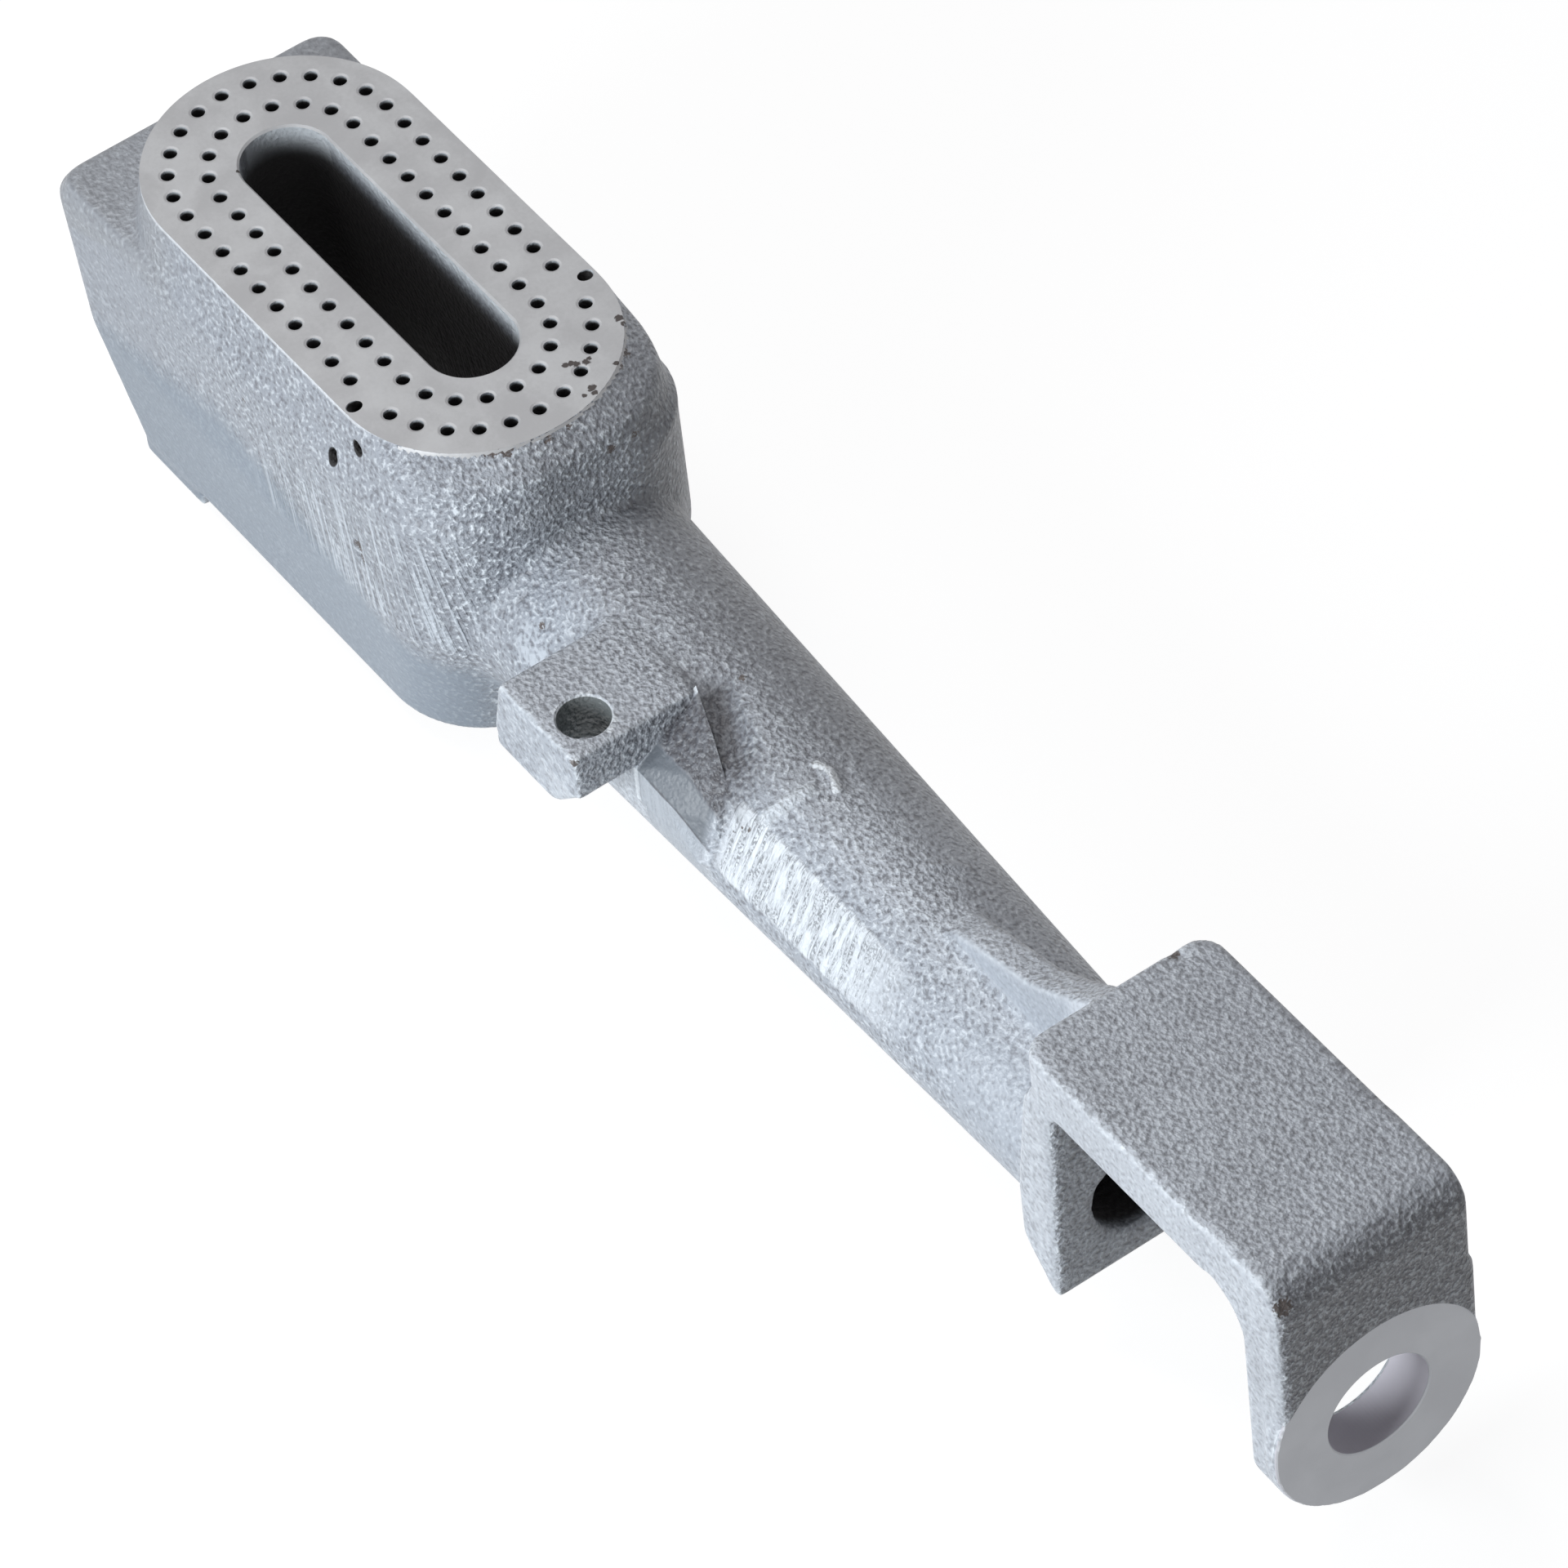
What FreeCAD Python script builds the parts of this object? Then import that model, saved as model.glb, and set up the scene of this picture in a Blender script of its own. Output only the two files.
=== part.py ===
import FreeCAD, Part
import math
import os

# Vertical gas burner: one painted casting with a drilled port deck, a mixing tube and an injector bracket.
# Frame: the origin is the centre of the injector seat, +X points the way the injector leaves,
# +Z points out of the port deck. The model is cut into its named regions, which meet face to face.

doc = FreeCAD.newDocument("VerticalGasBurner")

# Driving dimensions, in millimetres, counts and degrees
sheet = doc.addObject("Spreadsheet::Sheet", "Sizes")
driving_sizes = [
    # the drilled pattern of gas ports
    ("port_pitch", 4.5),
    ("side_steps", 5),
    ("inner_row_margin", 4.35),
    ("outer_row_margin", 3.9),
    ("inner_end_steps", 8),
    ("outer_end_steps", 12),
    ("port_radius", 1.0),
    # the two ports at the near corners, drilled slanting under the rim, and the flash ports below them
    ("edge_port_margin", 1.5),
    ("edge_port_tilt", 35.0),
    ("flash_port_high_run", 25.4),
    ("flash_port_high_drop", 4.4),
    ("flash_port_low_run", 19.8),
    ("flash_port_low_drop", 9.9),
    # the head: a raised oval deck on a drafted body; each level flares out from the deck's oval
    ("head_reach", 218.5),
    ("deck_rise", 36.0),
    ("deck_radius", 20.4),
    ("deck_end_draw", 0.5),
    ("deck_height", 9.0),
    ("deck_foot_flare", 1.3),
    ("deck_foot_tip_flare", 4.6),
    ("deck_foot_nose_radius", 14.5),
    ("deck_brow_drop", 3.0),
    ("deck_brow_flare", 0.6),
    ("deck_brow_tip_flare", 3.9),
    ("deck_brow_nose_radius", 16.0),
    ("deck_thickness", 4.0),
    ("deck_rim_wall", 2.7),
    ("crown_flare", 1.8),
    ("crown_tip_flare", 4.9),
    ("crown_nose_radius", 14.0),
    ("crown_end_flare", 6.3),
    ("shoulder_drop", 12.2),
    ("shoulder_flare", 2.4),
    ("shoulder_tip_flare", 4.9),
    ("shoulder_end_flare", 8.7),
    ("belt_drop", 33.8),
    ("belt_flare", 3.0),
    ("belt_tip_flare", 3.7),
    ("belt_end_flare", 4.6),
    ("head_depth", 54.6),
    ("base_flare", 1.1),
    ("base_tip_flare", -1.5),
    ("base_end_flare", -1.3),
    ("nose_corner_radius", 16.0),
    ("far_corner_radius", 3.8),
    ("far_right_spread", 0.8),
    ("chamber_corner_radius", 1.0),
    ("head_wall", 4.2),
    ("floor_thickness", 5.0),
    # the air slot through the head and the wall round it
    ("slot_radius", 6.65),
    ("collar_wall", 3.2),
    # the pad under the far end
    ("pad_thickness", 3.8),
    ("pad_length", 15.0),
    ("pad_width", 42.0),
    ("pad_inset", 1.0),
    # the mixing tube, a slightly rising cone, and the hollow fillet where it leaves the head
    ("tube_mouth_run", 56.0),
    ("tube_head_flare", 24.6),
    ("tube_rise", 4.0),
    ("tube_mouth_radius", 12.6),
    ("tube_head_radius", 16.0),
    ("tube_wall", 3.5),
    ("neck_flare", 1.7),
    ("neck_fillet_radius", 0.8),
    # the mouth flange with its sloping back
    ("flange_side_margin", 2.7),
    ("flange_front_top_run", 46.2),
    ("flange_front_foot_run", 48.4),
    ("flange_back_top_run", 52.5),
    ("flange_back_run", 55.6),
    ("flange_back_high", 4.0),
    ("flange_back_low", -7.5),
    ("flange_foot_margin", 2.2),
    # the bracket that carries the injector, whose leg stands a little to the right of the plate
    ("plate_top_rise", 33.4),
    ("plate_thickness", 9.5),
    ("plate_side_margin", 2.4),
    ("plate_corner_radius", 3.5),
    ("leg_thickness", 8.0),
    ("leg_skin", 0.5),
    ("leg_left_reach", 14.8),
    ("leg_right_reach", 15.9),
    ("leg_end_radius", 16.5),
    ("bend_right_reach", 15.2),
    ("bend_outer_radius", 5.0),
    ("bend_inner_radius", 7.0),
    ("seat_radius", 16.3),
    ("seat_depth", 1.5),
    ("injector_bore_radius", 8.0),
    # the rib between tube and plate: its crest climbs slowly, then steeply
    ("rib_left_reach", 2.8),
    ("rib_thickness", 5.2),
    ("rib_length", 38.0),
    ("rib_foot_rise", 1.0),
    ("rib_top_drop", 1.9),
    # the ignition lug and the ground pad on the tube's shoulder below it
    ("lug_top_rise", 19.3),
    ("lug_thickness", 8.2),
    ("lug_back_thickness", 10.8),
    ("lug_flat_length", 11.5),
    ("lug_front_flare", 37.6),
    ("lug_length", 18.0),
    ("lug_back_draft", 2.8),
    ("lug_skirt_thickness", 1.9),
    ("lug_skirt_inset", 0.8),
    ("lug_skirt_bevel", 6.0),
    ("lug_skirt_depth", 13.9),
    ("lug_tip_offset", 25.4),
    ("lug_ridge_offset", 5.4),
    ("lug_bore_radius", 3.75),
    ("lug_bore_inset", 5.8),
    ("lug_bore_offset", 19.6),
    ("root_length", 14.5),
    ("root_back", 1.0),
    ("root_width", 6.5),
    ("root_yaw", -24.0),
    ("root_offset", 1.8),
    ("root_depth", 6.0),
    ("root_roll", 63.4),
    ("root_pitch", 6.0),
    ("root_stand_off", 0.87),
    # how far a cutting tool runs past what it cuts
    ("overrun", 2.0),
]
for row, (name, value) in enumerate(driving_sizes, start=1):
    sheet.set("A%d" % row, name)
    sheet.set("B%d" % row, str(value))
    sheet.setAlias("B%d" % row, name)
doc.recompute()
size = {name: float(sheet.get(name)) for name, value in driving_sizes}


# Small makers: every primitive takes its sizes from the sheet through expressions
def bind(item, expressions):
    for path, expression in expressions.items():
        item.setExpression(path, expression)
    return item


def block(name, low, high):
    """A box between two corners, each given as three expressions."""
    item = doc.addObject("Part::Box", name)
    sides = ("Length", "Width", "Height")
    for side, axis, start, end in zip(sides, "xyz", low, high):
        item.setExpression(side, "(%s) - (%s)" % (end, start))
        item.setExpression("Placement.Base." + axis, start)
    return item


def upright_cylinder(name, radius, foot, height):
    item = doc.addObject("Part::Cylinder", name)
    bind(item, {"Radius": radius, "Height": height})
    for axis, place in zip("xyz", foot):
        item.setExpression("Placement.Base." + axis, place)
    return item


def lying_cylinder(name, radius, start, length):
    """A cylinder along +X."""
    item = upright_cylinder(name, radius, start, length)
    item.Placement = FreeCAD.Placement(FreeCAD.Vector(), FreeCAD.Rotation(FreeCAD.Vector(0, 1, 0), 90))
    return item


def cut(name, base, *tools):
    item = base
    for count, tool in enumerate(tools, start=1):
        last = count == len(tools)
        step = doc.addObject("Part::Cut", name if last else "%s_step%d" % (name, count))
        step.Base = item
        step.Tool = tool
        item = step
    return item


def fuse(name, *pieces):
    item = doc.addObject("Part::MultiFuse", name)
    item.Shapes = list(pieces)
    item.Refine = True
    return item


def common(name, base, tool):
    item = doc.addObject("Part::Common", name)
    item.Base = base
    item.Tool = tool
    return item


def shaped(name, shape):
    """A feature whose form is worked out from the sheet's values."""
    item = doc.addObject("Part::Feature", name)
    item.Shape = shape
    return item


HEAD_X = "-Sizes.head_reach"
WIDEST = "Sizes.deck_radius + Sizes.belt_flare"
FACE_Z = "Sizes.deck_rise"
BASE_Z = "Sizes.deck_rise - Sizes.head_depth"
CROWN_Z = "Sizes.deck_rise - Sizes.deck_height"
SIDE_RUN = "Sizes.port_pitch * Sizes.side_steps"
OVAL_END = SIDE_RUN + " + Sizes.deck_radius"


def oval(name, radius, low, high):
    """An upright prism with round ends, about the slot's middle."""
    height = "(%s) - (%s)" % (high, low)
    near_x = "%s + %s" % (HEAD_X, SIDE_RUN)
    far_x = "%s - %s" % (HEAD_X, SIDE_RUN)
    middle = block(name + "_middle", (far_x, "-(%s)" % radius, low), (near_x, radius, high))
    near = upright_cylinder(name + "_near", radius, (near_x, "0", low), height)
    far = upright_cylinder(name + "_far", radius, (far_x, "0", low), height)
    return fuse(name, middle, near, far)


# Head outlines: blunt round corners towards the tube and smaller ones at the far end
head_x = -size["head_reach"]
side_run = size["port_pitch"] * size["side_steps"]
diagonal = math.sqrt(0.5)


def head_outline(z, half_width, tip, nose_radius, end, corner_radius, spread=0):
    near = head_x + tip
    far = head_x - end

    def at(x, y):
        return FreeCAD.Vector(x, y, z)

    def quarter(x, y, radius, x_side, y_side):
        first = at(x, y - y_side * radius)
        middle = at(x - x_side * radius * (1 - diagonal), y - y_side * radius * (1 - diagonal))
        last = at(x - x_side * radius, y)
        return Part.Arc(first, middle, last).toShape()

    def run(start, finish):
        return Part.makeLine(start, finish)

    nose_rest = half_width - nose_radius
    far_rest = half_width - corner_radius
    # the far end spreads a little on its right
    far_right = half_width + spread
    return Part.Wire([
        run(at(near, -nose_rest), at(near, nose_rest)),
        quarter(near, half_width, nose_radius, 1, 1),
        run(at(near - nose_radius, half_width), at(far + corner_radius, far_right)),
        quarter(far, far_right, corner_radius, -1, 1),
        run(at(far, far_right - corner_radius), at(far, -far_rest)),
        quarter(far, -half_width, corner_radius, -1, -1),
        run(at(far + corner_radius, -half_width), at(near - nose_radius, -half_width)),
        quarter(near, -half_width, nose_radius, 1, -1),
    ])


def head_loft(outlines):
    return Part.makeLoft([head_outline(*outline) for outline in outlines], True, True)


face_z = size["deck_rise"]
crown_z = face_z - size["deck_height"]
shoulder_z = face_z - size["shoulder_drop"]
belt_z = face_z - size["belt_drop"]
base_z = face_z - size["head_depth"]
wall = size["head_wall"]
nose = size["nose_corner_radius"]
corner = size["far_corner_radius"]
inner_corner = size["chamber_corner_radius"]
spread = size["far_right_spread"]
# a round end is two corners that all but meet
round_end_share = 0.99


def oval_outline(z, radius):
    bend_radius = radius * round_end_share
    return (z, radius, side_run + radius, bend_radius, side_run + radius, bend_radius)


deck_radius = size["deck_radius"]
deck_tip = side_run + deck_radius
face_bend = deck_radius * round_end_share
deck_end = deck_tip - size["deck_end_draw"]
foot_radius = deck_radius + size["deck_foot_flare"]
foot_bend = foot_radius * round_end_share
foot_tip = deck_tip + size["deck_foot_tip_flare"]
foot_end = side_run + foot_radius
brow_radius = deck_radius + size["deck_brow_flare"]
brow_bend = brow_radius * round_end_share
brow_tip = deck_tip + size["deck_brow_tip_flare"]
brow_z = face_z - size["deck_brow_drop"]
deck_blank = shaped("deck_blank", head_loft([
    (crown_z, foot_radius, foot_tip, size["deck_foot_nose_radius"], foot_end, foot_bend),
    (brow_z, brow_radius, brow_tip, size["deck_brow_nose_radius"], side_run + brow_radius, brow_bend),
    (face_z, deck_radius, deck_tip, face_bend, deck_end, face_bend),
]))


def level(z, name, nose_radius, corner_radius, inset):
    """One level of the body: half width, nose and far end, less an inset for the inside."""
    half_width = deck_radius + size[name + "_flare"] - inset
    tip = deck_tip + size[name + "_tip_flare"] - inset
    end = deck_tip + size[name + "_end_flare"] - inset
    return (z, half_width, tip, nose_radius - inset, end, corner_radius, spread)


body_blank = shaped("body_blank", head_loft([
    level(base_z, "base", nose, corner, 0),
    level(belt_z, "belt", nose, corner, 0),
    level(shoulder_z, "shoulder", nose, corner, 0),
    level(crown_z, "crown", size["crown_nose_radius"], corner, 0),
]))

# The gas chamber follows the outside, one wall in, and closes to the deck's own oval under the crown
chamber_radius = deck_radius - size["deck_rim_wall"]
chamber_low = base_z + size["floor_thickness"]
chamber_blank = shaped("chamber_blank", head_loft([
    level(chamber_low, "base", nose, inner_corner, wall),
    level(belt_z, "belt", nose, inner_corner, wall),
    level(shoulder_z, "shoulder", nose, inner_corner, wall),
    oval_outline(crown_z, chamber_radius),
]))

# Port deck: the machined face with its two rings of drilled ports, open to the slot in the middle
deck_under = "%s - Sizes.deck_thickness" % FACE_Z
deck_chamber = oval("deck_chamber", "Sizes.deck_radius - Sizes.deck_rim_wall",
                    "%s - Sizes.overrun" % CROWN_Z, deck_under)
slot_tool = oval("slot_tool", "Sizes.slot_radius", "%s - Sizes.pad_thickness - Sizes.overrun" % BASE_Z,
                 "%s + Sizes.overrun" % FACE_Z)


def ring_places(row_radius, end_steps):
    """Port places round one ring: even steps along both sides and round both ends."""
    places = []
    steps = int(size["side_steps"])
    for step in range(-steps, steps + 1):
        run = step * size["port_pitch"]
        places.append((run, -row_radius))
        places.append((run, row_radius))
    for step in range(1, int(end_steps)):
        turn = math.pi * step / int(end_steps) - math.pi / 2
        reach = side_run + row_radius * math.cos(turn)
        offset = row_radius * math.sin(turn)
        places.append((reach, offset))
        places.append((-reach, offset))
    return places


def drill(start, direction, length):
    return Part.makeCylinder(size["port_radius"], length, start, direction)


overrun = size["overrun"]
down = FreeCAD.Vector(0, 0, -1)
outer_row = deck_radius - size["outer_row_margin"]
inner_row = size["slot_radius"] + size["inner_row_margin"]
widest = deck_radius + size["belt_flare"]
outer_places = ring_places(outer_row, size["outer_end_steps"])
slanting_places = ((side_run, -outer_row), (side_run, outer_row))
straight_places = [place for place in outer_places if place not in slanting_places]
straight_places += ring_places(inner_row, size["inner_end_steps"])
drills = []
for run, offset in straight_places:
    start = FreeCAD.Vector(head_x + run, offset, face_z + overrun)
    drills.append(drill(start, down, size["deck_thickness"] + 2 * overrun))
tilt = math.radians(size["edge_port_tilt"])
for side in (-1, 1):
    direction = FreeCAD.Vector(0, -side * math.sin(tilt), -math.cos(tilt))
    mouth = FreeCAD.Vector(head_x + side_run, side * (deck_radius - size["edge_port_margin"]), face_z)
    length = (size["deck_thickness"] + overrun) / math.cos(tilt)
    drills.append(drill(mouth - direction * overrun, direction, length + overrun))
    inward = FreeCAD.Vector(0, -side, 0)
    for level in ("high", "low"):
        start = FreeCAD.Vector(head_x + size["flash_port_%s_run" % level], side * (widest + overrun),
                               face_z - size["flash_port_%s_drop" % level])
        drills.append(drill(start, inward, widest - outer_row + 2 * overrun))
port_drills = shaped("port_drills", Part.makeCompound(drills))

port_deck = cut("port_deck", deck_blank, deck_chamber, slot_tool, port_drills)

# Slot collar: the wall round the air slot, from the deck's underside to the bottom of the head
collar_radius = "Sizes.slot_radius + Sizes.collar_wall"
collar_blank = oval("collar_blank", collar_radius, BASE_Z, deck_under)
slot_collar = cut("slot_collar", collar_blank, slot_tool)

# The inside and outside cones of the mixing tube, long enough to reach into the head and the flange
tube_length = size["head_reach"] - size["tube_mouth_run"] - deck_tip - size["tube_head_flare"]
neck_run = size["head_reach"] - deck_tip - size["neck_flare"]
head_extra = neck_run - size["tube_mouth_run"] - tube_length + widest
taper = (size["tube_head_radius"] - size["tube_mouth_radius"]) / tube_length
mouth_extra = size["tube_mouth_run"] - size["flange_front_top_run"] + overrun
slope = size["tube_rise"] / tube_length


def tube_cone(name, inset):
    """The tube's cone, less an inset, run on past both of its ends."""
    start = FreeCAD.Vector(mouth_extra - size["tube_mouth_run"], 0, -mouth_extra * slope)
    direction = FreeCAD.Vector(-tube_length, 0, size["tube_rise"])
    length = mouth_extra + tube_length + head_extra
    first = size["tube_mouth_radius"] - mouth_extra * taper - inset
    second = size["tube_head_radius"] + head_extra * taper - inset
    return shaped(name, Part.makeCone(first, second, length, start, direction))


tube_outside = tube_cone("tube_outside", 0)
tube_inside = tube_cone("tube_inside", size["tube_wall"])

# Head walls: the drafted shell, cut at the slot's ends and along the middle
shell = cut("shell", body_blank, chamber_blank, port_drills)
BODY_LOW = "%s + Sizes.floor_thickness" % BASE_Z
NEAR_X = "%s + %s" % (HEAD_X, SIDE_RUN)
FAR_X = "%s - %s" % (HEAD_X, SIDE_RUN)
FAR_END = "%s - (%s) - Sizes.shoulder_end_flare - Sizes.overrun" % (HEAD_X, OVAL_END)
NEAR_END = "%s + %s + Sizes.shoulder_tip_flare + Sizes.overrun" % (HEAD_X, OVAL_END)
SIDE_END = WIDEST + " + Sizes.overrun"
walls = {
    "head_near_wall": ((NEAR_X, "-(%s)" % SIDE_END, BODY_LOW), (NEAR_END, SIDE_END, CROWN_Z)),
    "head_left_wall": ((FAR_X, "-(%s)" % SIDE_END, BODY_LOW), (NEAR_X, "0", CROWN_Z)),
    "head_right_wall": ((FAR_X, "0", BODY_LOW), (NEAR_X, SIDE_END, CROWN_Z)),
    "head_far_wall": ((FAR_END, "-(%s)" % SIDE_END, BODY_LOW), (FAR_X, SIDE_END, CROWN_Z)),
}
head_parts = []
for name, (low, high) in walls.items():
    zone = block(name + "_zone", low, high)
    if name == "head_near_wall":
        piece = cut(name, common(name + "_blank", shell, zone), tube_inside)
    else:
        piece = common(name, shell, zone)
    head_parts.append(piece)

floor_zone = block("floor_zone", (FAR_END, "-(%s)" % SIDE_END, "%s - Sizes.overrun" % BASE_Z),
                   (NEAR_END, SIDE_END, BODY_LOW))
collar_space = oval("collar_space", collar_radius, "%s - Sizes.overrun" % BASE_Z,
                    "%s + Sizes.overrun" % BODY_LOW)
head_floor = cut("head_floor", common("floor_blank", body_blank, floor_zone), collar_space)

# Foot pad under the far end
pad_far_x = "%s - (%s) - Sizes.base_end_flare + Sizes.pad_inset" % (HEAD_X, OVAL_END)
pad_blank = block("pad_blank", (pad_far_x, "-Sizes.pad_width / 2", "%s - Sizes.pad_thickness" % BASE_Z),
                  ("%s + Sizes.pad_length" % pad_far_x, "Sizes.pad_width / 2", BASE_Z))
foot_pad = cut("foot_pad", pad_blank, slot_tool)

# Neck: a ring with a hollow fillet, turned about the tube's axis, between the head's nose and the tube
axis_direction = FreeCAD.Vector(-tube_length, 0, size["tube_rise"]).normalize()
axis_foot = FreeCAD.Vector(-size["tube_mouth_run"], 0, 0)
neck_start = neck_run - size["tube_mouth_run"]
fillet = size["neck_fillet_radius"]
neck_radius = size["tube_mouth_radius"] + neck_start * taper
neck_reach = neck_start + widest


def neck_point(along, radius):
    sideways = FreeCAD.Vector(axis_direction.z, 0, -axis_direction.x)
    return axis_foot + axis_direction * along + sideways * radius


fillet_start = neck_start - fillet
neck_outer = neck_radius + fillet
neck_curve = Part.Arc(
    neck_point(fillet_start, neck_radius - fillet * taper),
    neck_point(fillet_start + fillet * diagonal, neck_radius + fillet * (1 - diagonal)),
    neck_point(neck_start, neck_outer)).toShape()
neck_outline = Part.Wire([
    neck_curve,
    Part.makeLine(neck_point(neck_start, neck_outer), neck_point(neck_reach, neck_outer)),
    Part.makeLine(neck_point(neck_reach, neck_outer), neck_point(neck_reach, 0)),
    Part.makeLine(neck_point(neck_reach, 0), neck_point(fillet_start, 0)),
    Part.makeLine(neck_point(fillet_start, 0), neck_point(fillet_start, neck_radius - fillet * taper)),
])
neck_blank = shaped("neck_blank", Part.Face(neck_outline).revolve(axis_foot, axis_direction, 360))
head_space = block("head_space", (FAR_END, "-(%s)" % SIDE_END, "%s - Sizes.overrun" % BASE_Z),
                   (NEAR_X, SIDE_END, "%s + Sizes.overrun" % FACE_Z))
neck = cut("neck", neck_blank, body_blank, deck_blank, head_space, tube_inside)

# Mouth flange: a plate across the tube's mouth, with a sloping back and a chamfered foot
bracket_low = size["plate_top_rise"] - size["plate_thickness"]
flange_half = size["tube_mouth_radius"] + size["flange_side_margin"]
flange_foot = -(size["tube_mouth_radius"] + size["flange_foot_margin"])


def side_profile(points):
    """A plate with the given side view, across the flange's full width."""
    corners = [FreeCAD.Vector(x, -flange_half, z) for x, z in points]
    wire = Part.makePolygon(corners + corners[:1])
    return Part.Face(wire).extrude(FreeCAD.Vector(0, 2 * flange_half, 0))


flange_blank = shaped("flange_blank", side_profile([
    (-size["flange_front_top_run"], bracket_low),
    (-size["flange_back_top_run"], bracket_low),
    (-size["flange_back_run"], size["flange_back_high"]),
    (-size["flange_back_run"], size["flange_back_low"]),
    (-size["flange_front_foot_run"] - overrun / 2, flange_foot),
    (-size["flange_front_foot_run"], flange_foot),
]))
mouth_flange = cut("mouth_flange", flange_blank, tube_inside)

# Mixing tube, between the neck's fillet and the flange's back
TUBE_FAR = "%s + %s + Sizes.neck_flare - Sizes.overrun" % (HEAD_X, OVAL_END)
TUBE_NEAR = "-(Sizes.flange_front_foot_run + Sizes.overrun / 2)"
HALF_REACH = "Sizes.head_reach / 2"
tube_zone = block("tube_zone", (TUBE_FAR, "-" + HALF_REACH, "-" + HALF_REACH),
                  (TUBE_NEAR, HALF_REACH, HALF_REACH))
tube_solid = common("tube_solid", tube_outside, tube_zone)
mixing_tube = cut("mixing_tube", tube_solid, neck_blank, tube_inside, flange_blank)

# Bracket: the plate over the air gap, its bend and the leg with the injector's seat
leg_front = "Sizes.leg_skin"
leg_back = "-Sizes.leg_thickness"
bend_far = "%s - Sizes.bend_inner_radius" % leg_back
plate_low = "Sizes.plate_top_rise - Sizes.plate_thickness"
bend_low = "%s - Sizes.bend_inner_radius" % plate_low
left_edge = "-Sizes.leg_left_reach"
right_edge = "Sizes.leg_right_reach"
PLATE_HALF = "Sizes.tube_mouth_radius + Sizes.plate_side_margin"
plate_blank = block("plate_blank", ("-Sizes.flange_back_top_run", "-(%s)" % PLATE_HALF, plate_low),
                    (bend_far, PLATE_HALF, "Sizes.plate_top_rise"))
bend_square = block("bend_square", (bend_far, left_edge, bend_low),
                    (leg_front, "Sizes.bend_right_reach", "Sizes.plate_top_rise"))
bend_hollow = block("bend_hollow", ("%s - Sizes.overrun" % bend_far, "%s - Sizes.overrun" % left_edge,
                                    "%s - Sizes.overrun" % bend_low),
                    (leg_back, "%s + Sizes.overrun" % right_edge, plate_low))
bend_blank = cut("bend_blank", bend_square, bend_hollow)
doc.recompute()
same = size["leg_skin"] / 10


def upright_edges(shape, x):
    """Numbers of the upright edges at one x."""
    numbers = []
    for number, edge in enumerate(shape.Edges, start=1):
        first, last = edge.Vertexes[0].Point, edge.Vertexes[-1].Point
        there = abs(first.x - x) < same and abs(last.x - x) < same
        if there and abs(first.y - last.y) < same and abs(first.z - last.z) > same:
            numbers.append(number)
    return numbers


def cross_edges(shape, x, z):
    """Numbers of the edges that run across the bracket at one x and z."""
    numbers = []
    for number, edge in enumerate(shape.Edges, start=1):
        ends = [vertex.Point for vertex in edge.Vertexes]
        if all(abs(end.x - x) < same and abs(end.z - z) < same for end in ends):
            numbers.append(number)
    return numbers


bracket_plate = doc.addObject("Part::Fillet", "bracket_plate")
bracket_plate.Base = plate_blank
bracket_plate.Edges = [(number, size["plate_corner_radius"], size["plate_corner_radius"])
                       for number in upright_edges(plate_blank.Shape, -size["flange_back_top_run"])]
bracket_bend = doc.addObject("Part::Fillet", "bracket_bend")
bracket_bend.Base = bend_blank
outer_edges = cross_edges(bend_blank.Shape, size["leg_skin"], size["plate_top_rise"])
inner_edges = cross_edges(bend_blank.Shape, -size["leg_thickness"], bracket_low)
# the inner round stays a hair inside the piece, so that its ends keep a flat of their own
inner_round = size["bend_inner_radius"] * round_end_share
outer_round = size["bend_outer_radius"]
bracket_bend.Edges = ([(number, outer_round, outer_round) for number in outer_edges]
                      + [(number, inner_round, inner_round) for number in inner_edges])

leg_plate = block("leg_plate", (leg_back, left_edge, "0"), (leg_front, right_edge, bend_low))
leg_round = lying_cylinder("leg_round", "Sizes.leg_end_radius", (leg_back, "0", "0"),
                           "Sizes.leg_thickness + Sizes.leg_skin")
leg_low = "-(Sizes.leg_end_radius + Sizes.overrun)"
leg_zone = block("leg_zone", ("%s - Sizes.overrun" % leg_back, left_edge, leg_low),
                 ("%s + Sizes.overrun" % leg_front, "Sizes.leg_end_radius", bend_low))
leg_end = common("leg_end", leg_round, leg_zone)
injector_bore = lying_cylinder("injector_bore", "Sizes.injector_bore_radius",
                               ("%s - Sizes.overrun" % leg_back, "0", "0"),
                               "Sizes.leg_thickness + Sizes.leg_skin + 2 * Sizes.overrun")
seat_cutter = lying_cylinder("seat_cutter", "Sizes.seat_radius", ("-Sizes.seat_depth", "0", "0"),
                             "Sizes.seat_depth + Sizes.leg_skin + Sizes.overrun")
bracket_leg = cut("bracket_leg", fuse("leg_blank", leg_plate, leg_end), injector_bore, seat_cutter)
seat_disc = lying_cylinder("seat_disc", "Sizes.seat_radius", ("-Sizes.seat_depth", "0", "0"),
                           "Sizes.seat_depth")
injector_seat = cut("injector_seat", common("seat_blank", seat_disc, leg_zone), injector_bore)

# Rib from the tube's crown up to the plate's far edge
rib_end = -size["flange_back_top_run"]
rib_side = -size["rib_left_reach"]
rib_low = size["tube_mouth_radius"] + size["rib_foot_rise"]
rib_height = size["plate_top_rise"] - size["rib_top_drop"] - rib_low
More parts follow.
